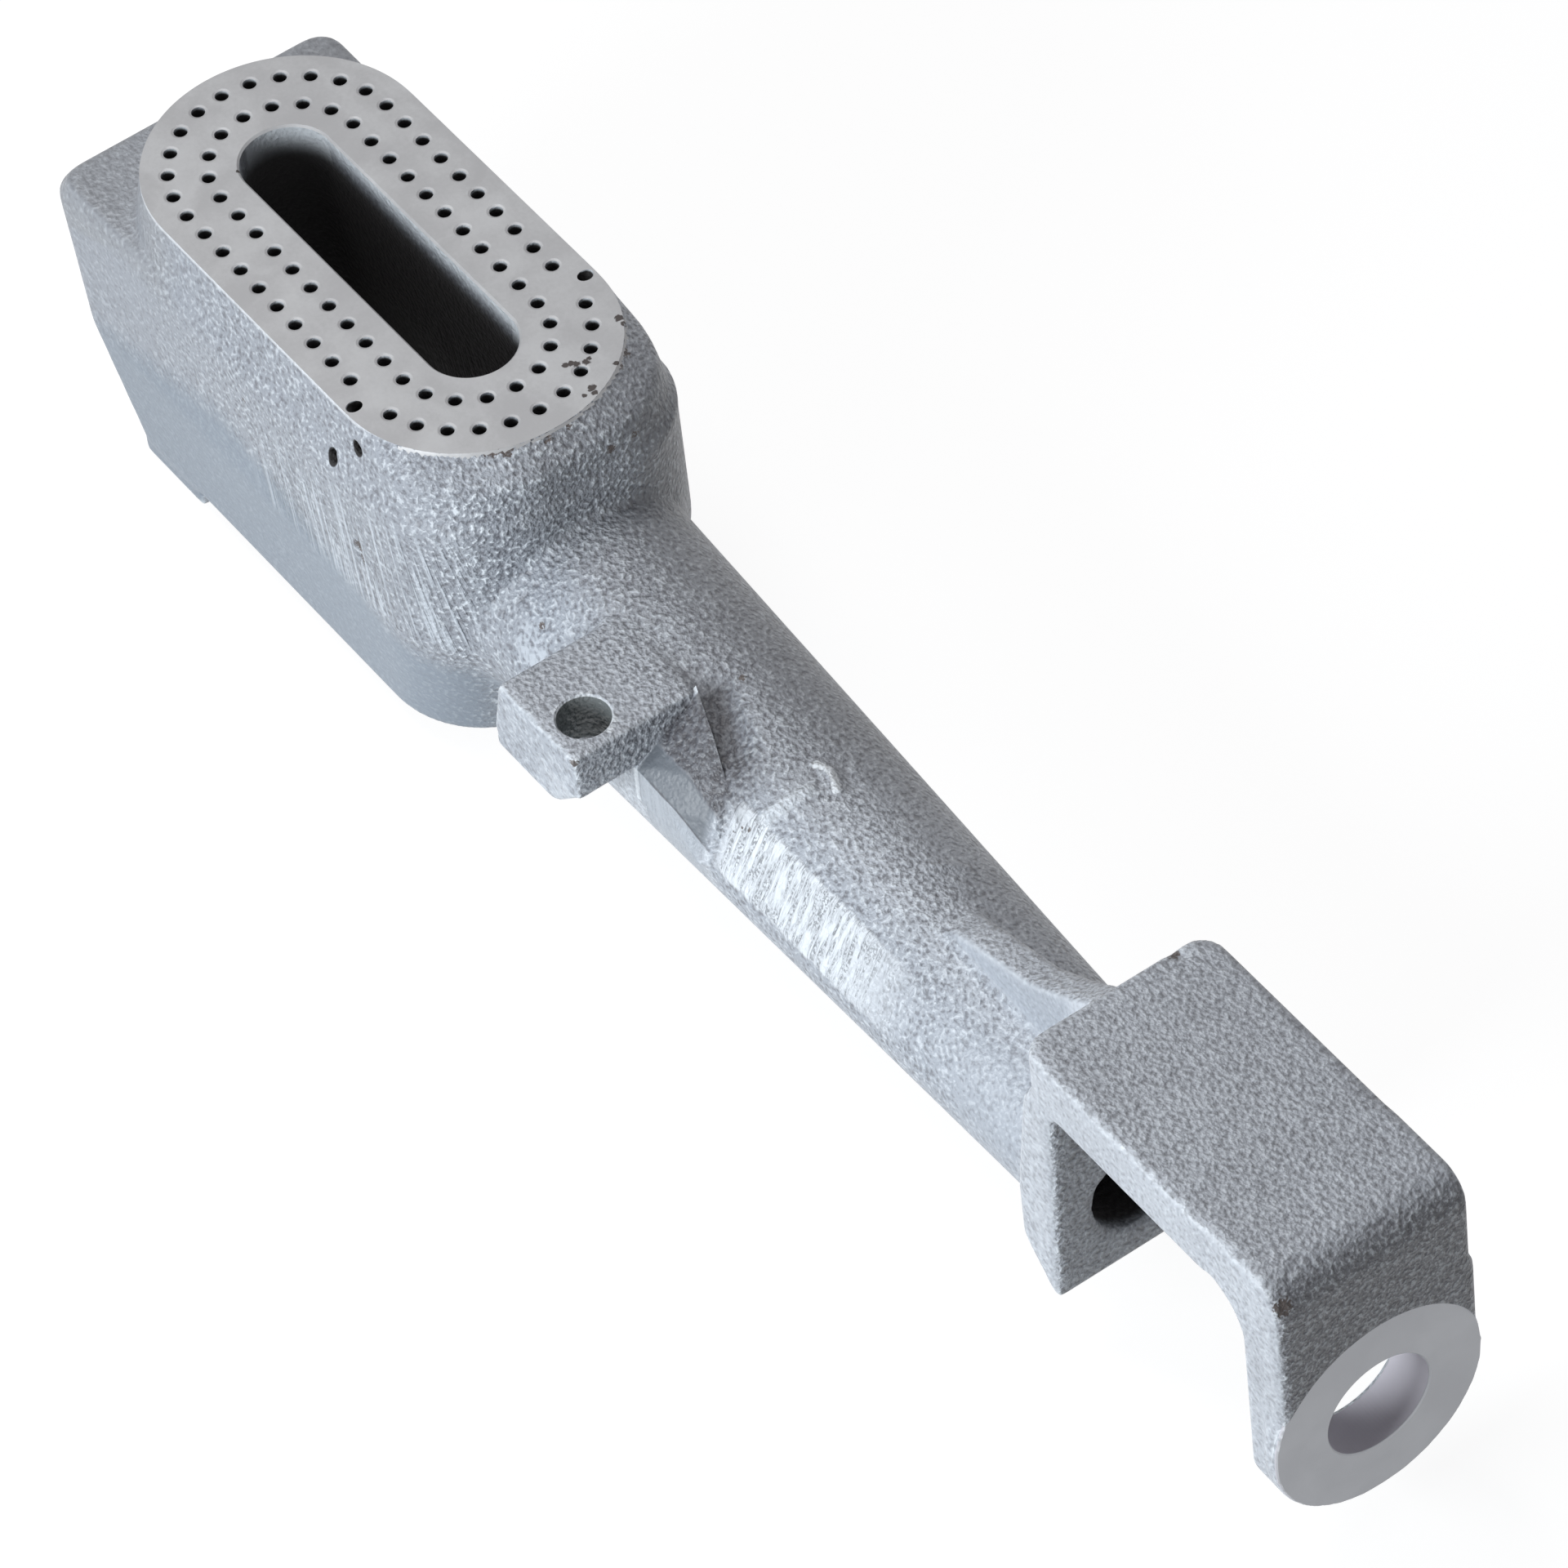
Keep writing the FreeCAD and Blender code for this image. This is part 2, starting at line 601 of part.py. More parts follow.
# the crest's points, as shares of the rib's length and of its height
rib_crest_shares = [(1.0, 0.0), (0.763, 0.212), (0.395, 0.447), (0.158, 0.749), (0.0, 1.0)]
rib_foot = rib_end - size["rib_length"]
rib_corners = []
for run_share, rise_share in rib_crest_shares:
    crest_x = rib_end - size["rib_length"] * run_share
    rib_corners.append(FreeCAD.Vector(crest_x, rib_side, rib_low + rib_height * rise_share))
rib_corners += [FreeCAD.Vector(rib_end, rib_side, 0), FreeCAD.Vector(rib_foot, rib_side, 0)]
rib_face = Part.Face(Part.makePolygon(rib_corners + rib_corners[:1]))
rib_blank = shaped("rib_blank", rib_face.extrude(FreeCAD.Vector(0, size["rib_thickness"], 0)))
tube_rib = cut("tube_rib", rib_blank, tube_outside, flange_blank)

# Ignition lug: a flat ear on the tube's left shoulder with an upright screw hole
lug_top = size["lug_top_rise"]
lug_front = deck_tip + size["lug_front_flare"] - size["head_reach"]
lug_back = lug_front - size["lug_length"]
lug_low = lug_top - size["lug_thickness"]
lug_back_low = lug_top - size["lug_back_thickness"]
lug_side = -size["lug_tip_offset"]


def lug_plate(points, width):
    """A plate with the given side view, from the lug's left face inwards."""
    corners = [FreeCAD.Vector(x, lug_side, z) for x, z in points]
    return Part.Face(Part.makePolygon(corners + corners[:1])).extrude(FreeCAD.Vector(0, width, 0))


lug_ear = shaped("lug_ear", lug_plate([
    (lug_front, lug_low),
    (lug_front, lug_top),
    (lug_back, lug_top),
    (lug_back - size["lug_back_draft"], lug_back_low),
    (lug_front - size["lug_flat_length"], lug_low),
], size["lug_tip_offset"] - size["lug_ridge_offset"]))
# a deeper skirt under its left edge
skirt_front = lug_front - size["lug_skirt_inset"]
skirt_low = lug_top - size["lug_skirt_depth"]
lug_skirt = shaped("lug_skirt", lug_plate([
    (skirt_front, lug_low),
    (skirt_front - size["lug_skirt_bevel"], skirt_low),
    (lug_back - size["lug_back_draft"], skirt_low),
    (lug_back, lug_top),
    (skirt_front, lug_top),
], size["lug_skirt_thickness"]))
lug_blank = fuse("lug_blank", lug_ear, lug_skirt)
LUG_FRONT = "%s + %s + Sizes.lug_front_flare" % (HEAD_X, OVAL_END)
lug_bore = upright_cylinder("lug_bore", "Sizes.lug_bore_radius",
                            (LUG_FRONT + " - Sizes.lug_bore_inset", "-Sizes.lug_bore_offset",
                             "Sizes.lug_top_rise - Sizes.lug_back_thickness - Sizes.overrun"),
                            "Sizes.lug_back_thickness + 2 * Sizes.overrun")
ignition_lug = cut("ignition_lug", lug_blank, tube_outside, neck_blank, lug_bore)

# Lug root: a ground flat on the tube's shoulder that runs out forwards from under the lug
root_blank = doc.addObject("Part::Box", "root_blank")
bind(root_blank, {"Length": "Sizes.root_length", "Width": "Sizes.root_width", "Height": "Sizes.root_depth"})
roll = FreeCAD.Rotation(FreeCAD.Vector(1, 0, 0), size["root_roll"])
yaw = FreeCAD.Rotation(FreeCAD.Vector(0, 0, 1), size["root_yaw"])
pitch = FreeCAD.Rotation(FreeCAD.Vector(0, 1, 0), size["root_pitch"])
root_turn = roll.multiply(yaw).multiply(pitch)
root_run = -lug_front - size["tube_mouth_run"]
root_foot = FreeCAD.Vector(lug_front, 0, root_run * slope)
root_reach = size["tube_mouth_radius"] + root_run * taper + size["root_stand_off"]
root_side = size["root_offset"] - size["root_width"] / 2
root_corner = FreeCAD.Vector(-size["root_back"], root_side, root_reach - size["root_depth"])
root_blank.Placement = FreeCAD.Placement(root_foot + root_turn.multVec(root_corner), root_turn)
lug_root = cut("lug_root", root_blank, tube_outside, lug_blank)

# Export: each named region is its own solid
nodes = head_parts + [
    port_deck, slot_collar, head_floor, foot_pad, neck, mixing_tube, mouth_flange, bracket_plate,
    bracket_bend, bracket_leg, injector_seat, tube_rib, ignition_lug, lug_root,
]
doc.recompute()
for item in doc.Objects:
    if "Invalid" in item.State or "Error" in item.State:
        raise RuntimeError("%s failed: %s" % (item.Name, item.State))
for item in nodes:
    shape = item.Shape
    if shape.isNull() or not shape.isValid() or shape.Volume <= 0:
        raise RuntimeError("%s has no valid shape" % item.Name)
    if len(shape.Solids) != 1:
        raise RuntimeError("%s holds %d solids" % (item.Name, len(shape.Solids)))

os.makedirs("parts", exist_ok=True)
for item in nodes:
    item.Label = item.Name
    item.Shape.exportStep("parts/%s.step" % item.Name)
    print("%-18s %10.1f mm3" % (item.Name, item.Shape.Volume))
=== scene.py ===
import math

import bmesh
import bpy
import numpy
from mathutils import Matrix, Vector


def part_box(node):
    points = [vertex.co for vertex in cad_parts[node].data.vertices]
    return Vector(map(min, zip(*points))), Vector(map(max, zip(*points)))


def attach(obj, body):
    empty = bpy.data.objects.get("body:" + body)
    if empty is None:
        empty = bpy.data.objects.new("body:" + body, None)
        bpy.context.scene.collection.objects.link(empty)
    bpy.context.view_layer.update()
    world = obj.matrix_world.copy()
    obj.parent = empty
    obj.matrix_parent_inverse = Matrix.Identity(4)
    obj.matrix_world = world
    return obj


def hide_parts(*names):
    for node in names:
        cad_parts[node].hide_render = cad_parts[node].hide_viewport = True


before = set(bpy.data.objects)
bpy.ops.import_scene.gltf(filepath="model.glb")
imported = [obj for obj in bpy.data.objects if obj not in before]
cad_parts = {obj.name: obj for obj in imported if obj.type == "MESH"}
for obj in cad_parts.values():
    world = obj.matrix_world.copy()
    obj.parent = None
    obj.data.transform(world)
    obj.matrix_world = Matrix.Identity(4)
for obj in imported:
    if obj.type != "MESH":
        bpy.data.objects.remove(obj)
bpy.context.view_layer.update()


# The photographer's sweep: a pale plain floor just under the burner's foot pad, in a white room.
# The camera and every reflection see it white, with a faint shadow; its bounce on the burner is weak.
floor_gap = 0.0002
floor_half = 3.0
floor_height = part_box("foot_pad")[0].z - floor_gap
floor_mesh = bpy.data.meshes.new("floor")
floor_mesh.from_pydata(
    [(-floor_half, -floor_half, floor_height), (floor_half, -floor_half, floor_height),
     (floor_half, floor_half, floor_height), (-floor_half, floor_half, floor_height)],
    [], [(0, 1, 2, 3)])
floor = bpy.data.objects.new("floor", floor_mesh)
bpy.context.collection.objects.link(floor)


class Value:
    """A number or colour inside a material, with plain arithmetic."""

    def __init__(self, paint, socket):
        self.paint = paint
        self.socket = socket

    def math(self, operation, *others):
        inputs = dict(enumerate((self,) + others))
        return self.paint.node("Math", {"operation": operation}, inputs)

    def __add__(self, other):
        return self.math("ADD", other)

    def __sub__(self, other):
        return self.math("SUBTRACT", other)

    def __rsub__(self, other):
        return self.paint.node("Math", {"operation": "SUBTRACT"}, {0: other, 1: self})

    def __mul__(self, other):
        return self.math("MULTIPLY", other)

    def __pow__(self, other):
        return self.math("POWER", other)

    __radd__ = __add__
    __rmul__ = __mul__

    def size(self):
        return self.math("ABSOLUTE")

    def most(self, other):
        return self.math("MAXIMUM", other)

    def rise(self, low, high):
        """0 below low, 1 above high, and smooth between them."""
        settings = {"interpolation_type": "SMOOTHSTEP"}
        return self.paint.node("MapRange", settings, {"Value": self, "From Min": low, "From Max": high})

    def fall(self, low, high):
        """1 below low, 0 above high, and smooth between them."""
        return 1 - self.rise(low, high)

    def parts(self):
        """The three numbers of a place or direction."""
        split = self.paint.node("SeparateXYZ", {}, {0: self})
        return [Value(self.paint, socket) for socket in split.socket.node.outputs]


class Paint:
    """The nodes of one material, or of the room."""

    def __init__(self, owner):
        self.owner = owner
        owner.use_nodes = True
        self.tree = owner.node_tree
        self.tree.nodes.clear()

    def node(self, kind, settings, inputs, output=0):
        """A new node; what comes back is one of its outputs, if it has any."""
        made = self.tree.nodes.new("ShaderNode" + kind)
        for key, value in settings.items():
            setattr(made, key, value)
        for key, value in inputs.items():
            if isinstance(value, Value):
                self.tree.links.new(value.socket, made.inputs[key])
            else:
                made.inputs[key].default_value = value
        return Value(self, made.outputs[output]) if len(made.outputs) else None

    def mix(self, amount, first, second):
        """Between two colours."""
        inputs = {0: amount, 6: first, 7: second}
        return self.node("Mix", {"data_type": "RGBA"}, inputs, 2)

    def in_view(self):
        """1 for a ray from the camera or off a gloss, and 0 for light that bounces between matt things."""
        kinds = self.node("LightPath", {}, {}).socket.node.outputs
        straight, glossy, through = [
            Value(self, kinds[name]) for name in ("Is Camera Ray", "Is Glossy Ray", "Is Transmission Ray")]
        return straight.most(glossy).most(through)

    def place(self):
        """Where a point is on the burner, in millimetres."""
        where = self.node("TexCoord", {}, {}, "Object")
        return self.node("VectorMath", {"operation": "SCALE"}, {"Vector": where, "Scale": 1000.0})

    def stretched(self, where, turn, scale):
        """The place turned and scaled, for marks that run one way."""
        inputs = {"Vector": where, "Rotation": turn}
        turned = self.node("VectorRotate", {"rotation_type": "EULER_XYZ"}, inputs)
        return self.node("VectorMath", {"operation": "MULTIPLY"}, {0: turned, 1: scale})

    def noise(self, where, scale, detail=2.0, roughness=0.5, distortion=0.0):
        """Cloudy marks, scale of them to a millimetre."""
        inputs = {"Vector": where, "Scale": scale, "Detail": detail, "Roughness": roughness,
                  "Distortion": distortion}
        return self.node("TexNoise", {}, inputs, "Fac")

    def spots(self, where, places, ragged):
        """1 inside each small ragged spot, given as a place and a radius."""
        found = None
        for spot, radius in places:
            away = self.node("VectorMath", {"operation": "DISTANCE"}, {0: where, 1: spot}, "Value")
            mark = (away + ragged * radius).fall(radius * 0.7, radius)
            found = mark if found is None else found.most(mark)
        return found

    def finish(self, output, shader):
        self.node(output, {}, {"Surface": shader})
        return self.owner


white = (1, 1, 1, 1)
sweep_grey = (0.28, 0.28, 0.28, 1)
sweep_glow = 0.86
sweep = Paint(bpy.data.materials.new("white sweep"))
matt = sweep.node("BsdfDiffuse", {}, {"Color": sweep_grey})
glow = sweep.node("Emission", {}, {"Color": white, "Strength": sweep_glow})
bright = sweep.node("AddShader", {}, {0: matt, 1: glow})
sweep_shader = sweep.node("MixShader", {}, {0: sweep.in_view(), 1: matt, 2: bright})
floor_mesh.materials.append(sweep.finish("OutputMaterial", sweep_shader))

room_soft = (0.15, 0.149, 0.155, 1)
world = bpy.data.worlds.new("studio")
bpy.context.scene.world = world
room = Paint(world)
room_colour = room.mix(room.in_view(), room_soft, white)
room.finish("OutputWorld", room.node("Background", {}, {"Color": room_colour, "Strength": 1.0}))

# The camera stands in front, to the left and high up, and is rolled a little, with a long lens.
# Its three directions were fitted to the pattern of the gas ports.
right = Vector((0.57875869, 0.81094288, -0.08608152))
up = Vector((-0.5787406, 0.48280467, 0.65723585))
back = Vector((0.57454129, -0.33056208, 0.74875297))
camera_stand = Vector((0.56885, -0.40079, 0.91330))
camera_data = bpy.data.cameras.new("camera")
camera_data.sensor_width = 36
camera_data.lens = 210.06
camera_data.clip_end = 50
camera = bpy.data.objects.new("camera", camera_data)
camera.matrix_world = Matrix((
    (right.x, up.x, back.x, camera_stand.x),
    (right.y, up.y, back.y, camera_stand.y),
    (right.z, up.z, back.z, camera_stand.z),
    (0, 0, 0, 1)))
bpy.context.collection.objects.link(camera)
bpy.context.scene.camera = camera
bpy.context.scene.view_settings.view_transform = "Standard"

# Two soft boxes: a cool one close by on the left, nearer to the bracket than to the head, and a
# wider one farther off overhead. The room's soft grey fills the sides that face away from both.
lit_middle = Vector((-0.10, 0, 0.01))
cool = (0.92, 0.97, 1.0)
plain = (1.0, 0.99, 0.99)
for name, stand, width, watts, tint in (
        ("left box", Vector((-0.09, -0.43, 0.12)), 0.30, 2.52, cool),
        ("top box", Vector((-0.46, -0.06, 0.76)), 0.40, 2.25, plain)):
    lamp_data = bpy.data.lights.new(name, "AREA")
    lamp_data.size = width
    lamp_data.energy = watts
    lamp_data.color = tint
    lamp = bpy.data.objects.new(name, lamp_data)
    lamp.location = stand
    lamp.rotation_euler = (stand - lit_middle).to_track_quat("Z", "Y").to_euler()
    bpy.context.collection.objects.link(lamp)

# The raw casting: grey iron poured in one piece in a sand mould. All its regions are joined and
# their edges melted together, as the mould's rounded corners leave them. Sizes are millimetres.
millimetre = 0.001
along_tube = (1, 0, 0)
upward = (0, 0, 1)
head_x = -218.5
half_run = 22.5
face_level = 36.0
deck_radius = 20.4
tube_start = -56.0
tube_climb = 4.0 / 95.0
tube_radius = 12.6
tube_taper = 3.4 / 95.0
lug_hole = (-143.8, -19.6)
voxel = 0.00055
smoothing_turns = 18


def new_object(name, mesh):
    made = bpy.data.objects.new(name, mesh)
    bpy.context.collection.objects.link(made)
    return made


def apply_modifier(item, kind, **settings):
    modifier = item.modifiers.new(kind.lower(), kind)
    for key, value in settings.items():
        setattr(modifier, key, value)
    bpy.context.view_layer.update()
    done = bpy.data.meshes.new_from_object(item.evaluated_get(bpy.context.evaluated_depsgraph_get()))
    item.modifiers.clear()
    item.data = done


def add_rings(shape, rings):
    """A closed solid through rings of points, in millimetres."""
    rows = [[shape.verts.new(Vector(point) * millimetre) for point in ring] for ring in rings]
    faces = [shape.faces.new(list(reversed(rows[0]))), shape.faces.new(rows[-1])]
    for lower, upper in zip(rows, rows[1:]):
        for step in range(len(lower)):
            follow = (step + 1) % len(lower)
            faces.append(shape.faces.new((lower[step], lower[follow], upper[follow], upper[step])))
    bmesh.ops.recalc_face_normals(shape, faces=faces)


def add_turned(shape, start, direction, profile, sides=48):
    """A turned solid; the profile gives its radius at places along its axis."""
    start, direction = Vector(start), Vector(direction).normalized()
    aside = direction.orthogonal().normalized()
    over = direction.cross(aside)
    turns = [2 * math.pi * step / sides for step in range(sides)]
    rings = []
    for along, radius in profile:
        rings.append([start + direction * along + (aside * math.cos(turn) + over * math.sin(turn)) * radius
                      for turn in turns])
    add_rings(shape, rings)


def add_rod(shape, start, direction, low, high, radius, sides=48):
    """A turned solid of one radius, from low to high along its axis."""
    add_turned(shape, start, direction, [(low, radius), (high, radius)], sides)


def add_oval(shape, levels, sides=96):
    """An upright solid with round ends, about the slot's middle; each level is a height and a radius."""
    rings = []
    for height, radius in levels:
        ring = []
        for step in range(sides):
            turn = 2 * math.pi * (step + 0.5) / sides
            shift = half_run if math.cos(turn) > 0 else -half_run
            ring.append((head_x + shift + radius * math.cos(turn), radius * math.sin(turn), height))
        rings.append(ring)
    add_rings(shape, rings)


def add_block(shape, low, high):
    corners = [(low[0], low[1]), (high[0], low[1]), (high[0], high[1]), (low[0], high[1])]
    add_rings(shape, [[(x, y, z) for x, y in corners] for z in (low[2], high[2])])


def add_hull(shape, points, cuts):
    """The smallest solid round some points, in millimetres, with its edges cut into short ones."""
    hull = bmesh.new()
    corners = [hull.verts.new(Vector(point) * millimetre) for point in points]
    bmesh.ops.convex_hull(hull, input=corners)
    bmesh.ops.delete(hull, geom=[vert for vert in hull.verts if not vert.link_faces], context="VERTS")
    bmesh.ops.subdivide_edges(hull, edges=hull.edges[:], cuts=cuts, use_grid_fill=True)
    mesh = bpy.data.meshes.new("hull")
    hull.to_mesh(mesh)
    hull.free()
    shape.from_mesh(mesh)


def boolean(item, shape, operation="DIFFERENCE"):
    """Cuts a shape out of the item, adds it, or keeps only what is inside it."""
    mesh = bpy.data.meshes.new("tool")
    shape.to_mesh(mesh)
    shape.free()
    tool = new_object("tool", mesh)
    apply_modifier(item, "BOOLEAN", operation=operation, solver="MANIFOLD", object=tool)
    bpy.data.objects.remove(tool)


def tube_middle(x):
    """The height of the tube's axis."""
    return (tube_start - x) * tube_climb


def tube_size(x):
    """The tube's outer radius."""
    return tube_radius + (tube_start - x) * tube_taper


def on_tube(x, y, lift=0.0):
    """A place on the tube's upper side, or a little off it."""
    radius = tube_size(x) + lift
    return (x, y, tube_middle(x) + math.sqrt(radius * radius - y * y))


pour = bmesh.new()
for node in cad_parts.values():
    pour.from_mesh(node.data)
# metal that is machined off or drilled out later: on the deck, in and round the injector's bore,
# and in the lug's hole
add_oval(pour, [(face_level - 3.6, deck_radius), (face_level + 2.4, deck_radius)])
add_rod(pour, (-8.0, 0, 0), along_tube, 0, 8.4, radius=8.6)
add_rod(pour, (-3.0, 0, 0), along_tube, 0, 3.45, radius=16.4, sides=96)
add_rod(pour, lug_hole + (11.1,), upward, 0, 8.2, radius=4.2)
casting_mesh = bpy.data.meshes.new("casting")
pour.to_mesh(casting_mesh)
pour.free()
casting = new_object("casting", casting_mesh)
apply_modifier(casting, "REMESH", mode="VOXEL", voxel_size=voxel)
apply_modifier(casting, "SMOOTH", factor=0.5, iterations=smoothing_turns)

# Fettling, by hand with a grinder: the gate's stub is ground off as a long flat on the tube's
# left shoulder, and small welts, a hollow and a few nicks are left of the mould.
ground_turn = math.radians(63.4)
ground_depth = 0.8
ground_start = -127.0
ground_end = -78.0
start_fade = 4.0
end_fade = 14.0


def read_skin(name):
    """A place or a direction for each point of the casting's skin."""
    values = numpy.empty(len(casting.data.vertices) * 3)
    casting.data.vertices.foreach_get(name, values)
    return values.reshape(-1, 3)


points = read_skin("co") / millimetre
normals = read_skin("normal")
facing = numpy.array([0.0, -math.sin(ground_turn), math.cos(ground_turn)])
skin_x = points[:, 0]
fade_in = numpy.clip((skin_x - ground_start) / start_fade, 0, 1)
fade_out = numpy.clip((ground_end - skin_x) / end_fade, 0, 1)
depth = ground_depth * numpy.minimum(fade_in, fade_out)
proud = points @ facing - (facing[2] * tube_middle(skin_x) + tube_size(skin_x) - depth)
proud[(depth <= 0) | (proud < 0)] = 0
points -= numpy.outer(proud, facing)


def press(start, end, width, lift):
    """Raises or sinks the skin along a short line."""
    start, end = numpy.array(start), numpy.array(end)
    line = end - start
    share = numpy.clip((points - start) @ line / max(line @ line, 0.01), 0, 1)
    away = numpy.linalg.norm(points - start - numpy.outer(share, line), axis=1)
    points[:] += normals * (lift * numpy.exp(-(away / width) ** 2))[:, None]


# welts and a dent at the flat's upper end, and the hollow behind the gusset
press((-118.0, -9.0, 14.4), (-115.9, -3.3, 16.9), width=0.9, lift=0.45)
press((-118.4, 0.0, 17.5), (-116.6, 0.6, 17.3), width=0.7, lift=0.35)
press((-116.6, 0.6, 17.3), (-113.6, -0.4, 17.1), width=0.7, lift=0.45)
press((-116.0, 2.2, 17.1), (-113.0, 1.6, 16.9), width=0.9, lift=-0.3)
press((-136.6, -2.9, 18.3), (-128.0, -6.2, 16.4), width=2.3, lift=-1.25)
# nicks behind the lug, a welt on the tube, and nicks in the head and the bracket
press((-164.4, -12.9, 14.8), (-164.2, -12.9, 14.8), width=0.6, lift=-0.5)
press((-160.2, -13.2, 15.2), (-156.6, -11.6, 16.6), width=0.7, lift=-0.7)
press((-96.2, 2.1, 15.6), (-94.0, 6.0, 14.2), width=0.8, lift=0.3)
press((-193.9, -23.1, 13.7), (-193.6, -23.1, 11.0), width=0.6, lift=-0.4)
press((-51.7, 9.1, 33.4), (-50.8, 9.8, 33.4), width=0.8, lift=-0.5)
press((0.4, -13.6, 30.4), (-0.6, -14.0, 30.9), width=0.9, lift=-0.5)
casting.data.vertices.foreach_set("co", (points * millimetre).ravel())
casting.data.update()

# The gusset: a web of the same iron, cast with the lug, that runs down from the lug's front to the
# tube. It has three flat facets, a ramp on top and two down its left side.
gusset_start = -138.8
facet_bend = -129.8
facet_height = 11.4
gusset = bmesh.new()
add_hull(gusset, [
    (gusset_start, -5.0, 19.2), (-131.5, -7.6, 17.6), (-123.8, -10.4, 13.3),
    (gusset_start, -12.2, 14.6), (-130.5, -12.6, 13.9), (-124.0, -12.9, 10.6),
    (gusset_start, -16.1, facet_height), (facet_bend, -15.5, 9.4), (-122.6, -14.6, 5.0),
    (gusset_start, -16.2, 5.0), (-128.0, -15.4, 3.0), (-122.6, -13.9, 2.0),
    (gusset_start, -8.0, 4.0), (-124.0, -9.0, 4.0)], cuts=14)
boolean(casting, gusset, "UNION")

# The port deck is ground flat, the slot is opened, and the ports are drilled and their edges
# broken: eighty gas ports in two rings, two of them slanted, and two flash ports in each side wall.
slot_radius = 6.65
slot_bevel = 0.4
port_radius = 1.0
port_sides = 20
port_reach = 7.0
burr = 0.4
burr_depth = 0.13
pitch = 4.5
rings = ((11.0, 5, 8), (16.5, 4, 12))
lean = math.radians(35)
slant_place = 18.9
slant_reach = 11.0
flash_ports = ((25.4, 4.4), (19.8, 9.9))
flash_start = 26.0
flash_reach = 10.0
cutter = bmesh.new()
add_block(cutter, (-290, -40, face_level), (-150, 40, face_level + 20))
boolean(casting, cutter)
cutter = bmesh.new()
add_oval(cutter, [(face_level - 70, slot_radius), (face_level - 0.3, slot_radius),
                  (face_level + 0.1, slot_radius + slot_bevel), (face_level + 3, slot_radius + slot_bevel)])
boolean(casting, cutter)
cutter = bmesh.new()
for radius, last_step, end_steps in rings:
    port_places = [(step * pitch, side * radius) for step in range(-5, last_step + 1) for side in (-1, 1)]
    for step in range(1, end_steps):
        turn = math.pi * step / end_steps - math.pi / 2
        for side in (-1, 1):
            port_places.append((side * (half_run + radius * math.cos(turn)), radius * math.sin(turn)))
    for run, offset in port_places:
        add_turned(cutter, (head_x + run, offset, face_level), upward,
                   [(-port_reach, port_radius), (-burr_depth, port_radius), (0.02, port_radius + burr),
                    (2, port_radius + burr)], port_sides)
for side in (-1, 1):
    add_rod(cutter, (head_x + half_run, side * slant_place, face_level),
            (0, side * math.sin(lean), math.cos(lean)), -slant_reach, 4, port_radius, port_sides)
boolean(casting, cutter)
cutter = bmesh.new()
for side in (-1, 1):
    for run, drop in flash_ports:
        add_rod(cutter, (head_x + run, side * flash_start, face_level - drop), (0, -side, 0),
                0, flash_reach, port_radius, port_sides)
boolean(casting, cutter)

# The injector's seat: a ring on the end of the bracket's leg, faced square to the bore that holds
# the injector in line with the tube. The lug beside the tube is drilled upright for a screw.
seat_radius = 16.3
leg_face = 0.5
injector_radius = 8.0
lug_hole_radius = 3.75
lug_bevel = 0.25
lug_top = 19.3
cutter = bmesh.new()
add_rod(cutter, (0, 0, 0), along_tube, 0, 6, seat_radius, sides=128)
boolean(casting, cutter)
cutter = bmesh.new()
add_block(cutter, (leg_face, -30, -30), (12, 30, 40))
boolean(casting, cutter)
cutter = bmesh.new()
add_turned(cutter, (0, 0, 0), along_tube,
           [(-12, injector_radius + 0.9), (-7.9, injector_radius + 0.7), (-7.2, injector_radius),
            (-0.2, injector_radius), (0.02, injector_radius + 0.2), (3, injector_radius + 0.2)], sides=96)
add_turned(cutter, lug_hole + (lug_top,), upward,
           [(-14, lug_hole_radius), (-lug_bevel, lug_hole_radius), (0.0, lug_hole_radius + lug_bevel),
            (3, lug_hole_radius + lug_bevel)], sides=64)
boolean(casting, cutter)

# The paint: a thin silver grey over the sand-cast grain, brushed on before the faces were machined.
# It is smooth on the lower walls, worn bright where the casting was ground, and painted near black inside,
# where shade falls.
# A mark rises or falls between two places, in millimetres, or two levels of a noise or direction.
cast = Paint(bpy.data.materials.new("painted casting"))
where = cast.place()
x, y, z = where.parts()
normal_x, normal_y, normal_z = cast.node("NewGeometry", {}, {}, "Normal").parts()
leftward = normal_y * -1
forward = normal_x.rise(0.4, 0.9)
level_top = normal_z.rise(0.8, 0.95)
worm = cast.noise(where, 1.4, detail=0.5, distortion=0.15)
fine = cast.noise(where, 2.6, detail=1.0)
broad = cast.noise(where, 0.07, detail=3.0, distortion=0.3)
patchy = cast.noise(where, 0.35, distortion=0.3)
grain = worm * 0.7 + fine * 0.3

# marks on the head: its smooth lower wall, its crown, its scratched left side and its nape; the crown's far
# plane and the nape are painted darker as shade
in_head = x.fall(-178, -170)
lower_edge = z + (x + 228).size() * 0.25 - 12.5 + patchy * 3
low_wall = in_head * leftward.rise(0.3, 0.7) * lower_edge.fall(-3, 4)
# painted shade on the upper part of the head's far end, the plane that slopes down from the deck
crown = x.fall(-252, -247) * (z - x * 0.4 - 125.2).rise(-0.8, 0.8)
crown_shade = crown.most(x.fall(-243, -236) * z.rise(22, 26))
far_top = x.fall(-246, -240) * 0.7
far_fade = x.fall(-238, -222) * 0.45
head_shade = x.fall(-168, -156) * leftward.rise(0.0, 0.5)
# painted shade on the nape, along the tube's top next to the head
nape_shade = x.rise(-184, -174) * x.fall(-125, -95) * y.rise(-9, -4) * z.rise(6, 12)
scratch = cast.noise(cast.stretched(where, (0.0, 0.17, 0.0), (1.5, 0.4, 0.045)), 1.0,
                     roughness=0.6, distortion=0.1)
scratched = (in_head * leftward.rise(0.4, 0.7) * x.rise(-222, -214)
             * (z - x * 0.2 - 62).fall(-5, 2) * z.rise(1, 5))

